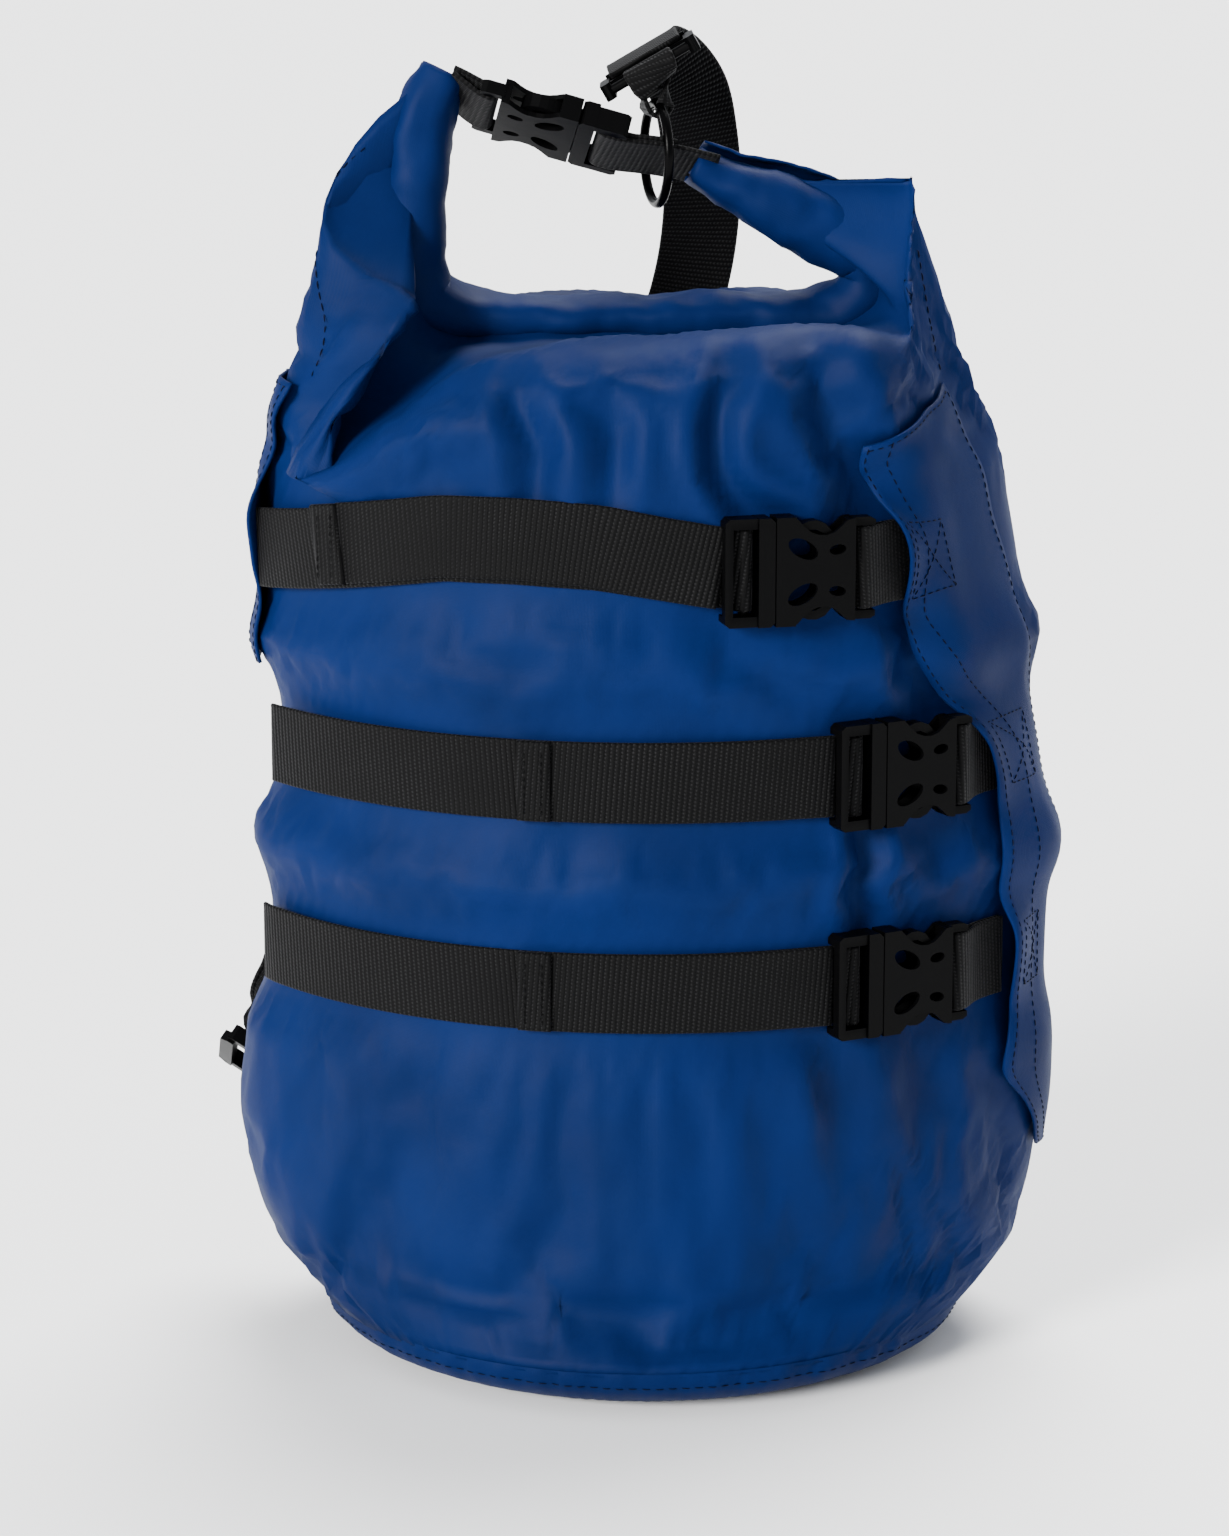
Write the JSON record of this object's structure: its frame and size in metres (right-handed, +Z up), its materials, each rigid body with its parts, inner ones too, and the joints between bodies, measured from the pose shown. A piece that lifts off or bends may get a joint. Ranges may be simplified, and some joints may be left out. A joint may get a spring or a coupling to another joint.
{
  "type": "roll-top compression sack",
  "caption": "Roll-top compression sack with a rolled and buckled carry loop, side-release compression straps between two side flaps and a rear shoulder strap.",
  "frame": {"origin": "middle of the flat underside of the base, on the floor", "axes": "+Z up along the sack, +Y to the back where the shoulder strap lies, +X to the right as seen from the front"},
  "size_m": [0.2702, 0.194, 0.4179],
  "materials": {
    "nylon": "royal blue coated nylon, fine plain weave with a soft sheen",
    "webbing": "black ribbed nylon webbing",
    "buckle_plastic": "black moulded acetal, fine matte",
    "ring": "black moulded ring, a little shinier than the buckles",
    "stiffener": "dark plastic strip, hidden in the roll"
  },
  "bodies": {
    "sack": {"sack_body": "nylon", "base_panel": "nylon", "left_shoulder": "nylon", "right_shoulder": "nylon", "roll_middle": "nylon", "roll_left_arm": "nylon", "roll_right_arm": "nylon", "roll_stiffener": "stiffener", "left_wing": "nylon", "right_wing": "nylon", "top_strap": "webbing", "middle_strap": "webbing", "bottom_strap": "webbing", "top_anchor": "webbing", "middle_anchor": "webbing", "bottom_anchor": "webbing", "top_female": "buckle_plastic", "middle_female": "buckle_plastic", "bottom_female": "buckle_plastic", "closure_male": "buckle_plastic", "closure_right_webbing": "webbing", "ring_webbing": "webbing", "shoulder_strap": "webbing", "lower_webbing": "webbing", "lower_tab": "nylon"},
    "top_male_buckle": {"top_male": "buckle_plastic", "top_tail": "webbing"},
    "top_strap_end": {"top_tail_end": "webbing"},
    "top_latch_upper_arm": {"top_latch_upper": "buckle_plastic"},
    "top_latch_lower_arm": {"top_latch_lower": "buckle_plastic"},
    "middle_male_buckle": {"middle_male": "buckle_plastic", "middle_tail": "webbing"},
    "middle_strap_end": {"middle_tail_end": "webbing"},
    "middle_latch_upper_arm": {"middle_latch_upper": "buckle_plastic"},
    "middle_latch_lower_arm": {"middle_latch_lower": "buckle_plastic"},
    "bottom_male_buckle": {"bottom_male": "buckle_plastic", "bottom_tail": "webbing"},
    "bottom_strap_end": {"bottom_tail_end": "webbing"},
    "bottom_latch_upper_arm": {"bottom_latch_upper": "buckle_plastic"},
    "bottom_latch_lower_arm": {"bottom_latch_lower": "buckle_plastic"},
    "closure_female_buckle": {"closure_female": "buckle_plastic", "closure_left_webbing": "webbing"},
    "closure_latch_front_arm": {"closure_latch_front": "buckle_plastic"},
    "closure_latch_back_arm": {"closure_latch_back": "buckle_plastic"},
    "ring": {"ring": "ring"},
    "shoulder_adjuster": {"shoulder_adjuster": "buckle_plastic"},
    "lower_adjuster": {"lower_adjuster": "buckle_plastic"}
  },
  "joints": [
    {"name": "top_strap_release", "type": "slide", "parent": "sack", "child": "top_male_buckle", "axis": [-0.9694, -0.2453, 0], "range_m": [0, 0.02], "deforming": ["top_strap"]},
    {"name": "top_latch_upper_flex", "type": "hinge", "parent": "top_male_buckle", "child": "top_latch_upper_arm", "pos_m": [0.035, -0.08033, 0.2746], "axis": [0.2453, -0.9694, 0], "range_deg": [-16, 0]},
    {"name": "top_latch_lower_flex", "type": "hinge", "parent": "top_male_buckle", "child": "top_latch_lower_arm", "pos_m": [0.035, -0.08033, 0.2514], "axis": [0.2453, -0.9694, 0], "range_deg": [0, 16]},
    {"name": "top_strap_tighten", "type": "hinge", "parent": "top_male_buckle", "child": "top_strap_end", "pos_m": [0, 0.06859, 0.263], "axis": [0, 0, 1], "range_deg": [-10, 0], "deforming": ["top_tail"]},
    {"name": "middle_strap_release", "type": "slide", "parent": "sack", "child": "middle_male_buckle", "axis": [-0.8846, -0.4664, 0], "range_m": [0, 0.02], "deforming": ["middle_strap"]},
    {"name": "middle_latch_upper_flex", "type": "hinge", "parent": "middle_male_buckle", "child": "middle_latch_upper_arm", "pos_m": [0.06903, -0.06792, 0.2096], "axis": [0.4664, -0.8846, 0], "range_deg": [-16, 0]},
    {"name": "middle_latch_lower_flex", "type": "hinge", "parent": "middle_male_buckle", "child": "middle_latch_lower_arm", "pos_m": [0.06903, -0.06792, 0.1864], "axis": [0.4664, -0.8846, 0], "range_deg": [0, 16]},
    {"name": "middle_strap_tighten", "type": "hinge", "parent": "middle_male_buckle", "child": "middle_strap_end", "pos_m": [0, 0.06859, 0.198], "axis": [0, 0, 1], "range_deg": [-10, 0], "deforming": ["middle_tail"]},
    {"name": "bottom_strap_release", "type": "slide", "parent": "sack", "child": "bottom_male_buckle", "axis": [-0.8846, -0.4664, 0], "range_m": [0, 0.02], "deforming": ["bottom_strap"]},
    {"name": "bottom_latch_upper_flex", "type": "hinge", "parent": "bottom_male_buckle", "child": "bottom_latch_upper_arm", "pos_m": [0.06903, -0.06792, 0.1436], "axis": [0.4664, -0.8846, 0], "range_deg": [-16, 0]},
    {"name": "bottom_latch_lower_flex", "type": "hinge", "parent": "bottom_male_buckle", "child": "bottom_latch_lower_arm", "pos_m": [0.06903, -0.06792, 0.1204], "axis": [0.4664, -0.8846, 0], "range_deg": [0, 16]},
    {"name": "bottom_strap_tighten", "type": "hinge", "parent": "bottom_male_buckle", "child": "bottom_strap_end", "pos_m": [0, 0.06859, 0.132], "axis": [0, 0, 1], "range_deg": [-10, 0], "deforming": ["bottom_tail"]},
    {"name": "closure_release", "type": "slide", "parent": "sack", "child": "closure_female_buckle", "axis": [-0.9627, 0, 0.2706], "range_m": [0, 0.02], "deforming": ["roll_left_arm", "left_shoulder"]},
    {"name": "closure_latch_front_flex", "type": "hinge", "parent": "sack", "child": "closure_latch_front_arm", "pos_m": [-0.01796, -0.01013, 0.39125], "axis": [0.2389, 0.4695, 0.85], "range_deg": [-16, 0]},
    {"name": "closure_latch_back_flex", "type": "hinge", "parent": "sack", "child": "closure_latch_back_arm", "pos_m": [-0.02091, 0.01036, 0.38077], "axis": [0.2389, 0.4695, 0.85], "range_deg": [0, 16]},
    {"name": "ring_swing", "type": "hinge", "parent": "sack", "child": "ring", "pos_m": [0.0032, 0, 0.3952], "axis": [-0.2419, 0.9703, 0], "range_deg": [-10, 10]},
    {"name": "shoulder_adjuster_tilt", "type": "hinge", "parent": "sack", "child": "shoulder_adjuster", "pos_m": [0.0012, -0.0025, 0.40625], "axis": [0.866, 0, 0.5], "range_deg": [-12, 12], "deforming": ["shoulder_strap"]},
    {"name": "lower_adjuster_tilt", "type": "hinge", "parent": "sack", "child": "lower_adjuster", "pos_m": [-0.12072, 0.03803, 0.06993], "axis": [0.1049, -0.85, 0.5162], "range_deg": [-10, 10], "deforming": ["shoulder_strap"]}
  ],
  "couplings": [
    {"joint": "top_latch_upper_flex", "follows": "top_strap_release", "rad_per_m": -11.868},
    {"joint": "top_latch_lower_flex", "follows": "top_strap_release", "rad_per_m": 11.868},
    {"joint": "middle_latch_upper_flex", "follows": "middle_strap_release", "rad_per_m": -11.868},
    {"joint": "middle_latch_lower_flex", "follows": "middle_strap_release", "rad_per_m": 11.868},
    {"joint": "bottom_latch_upper_flex", "follows": "bottom_strap_release", "rad_per_m": -11.868},
    {"joint": "bottom_latch_lower_flex", "follows": "bottom_strap_release", "rad_per_m": 11.868},
    {"joint": "closure_latch_front_flex", "follows": "closure_release", "rad_per_m": -11.868},
    {"joint": "closure_latch_back_flex", "follows": "closure_release", "rad_per_m": 11.868}
  ]
}
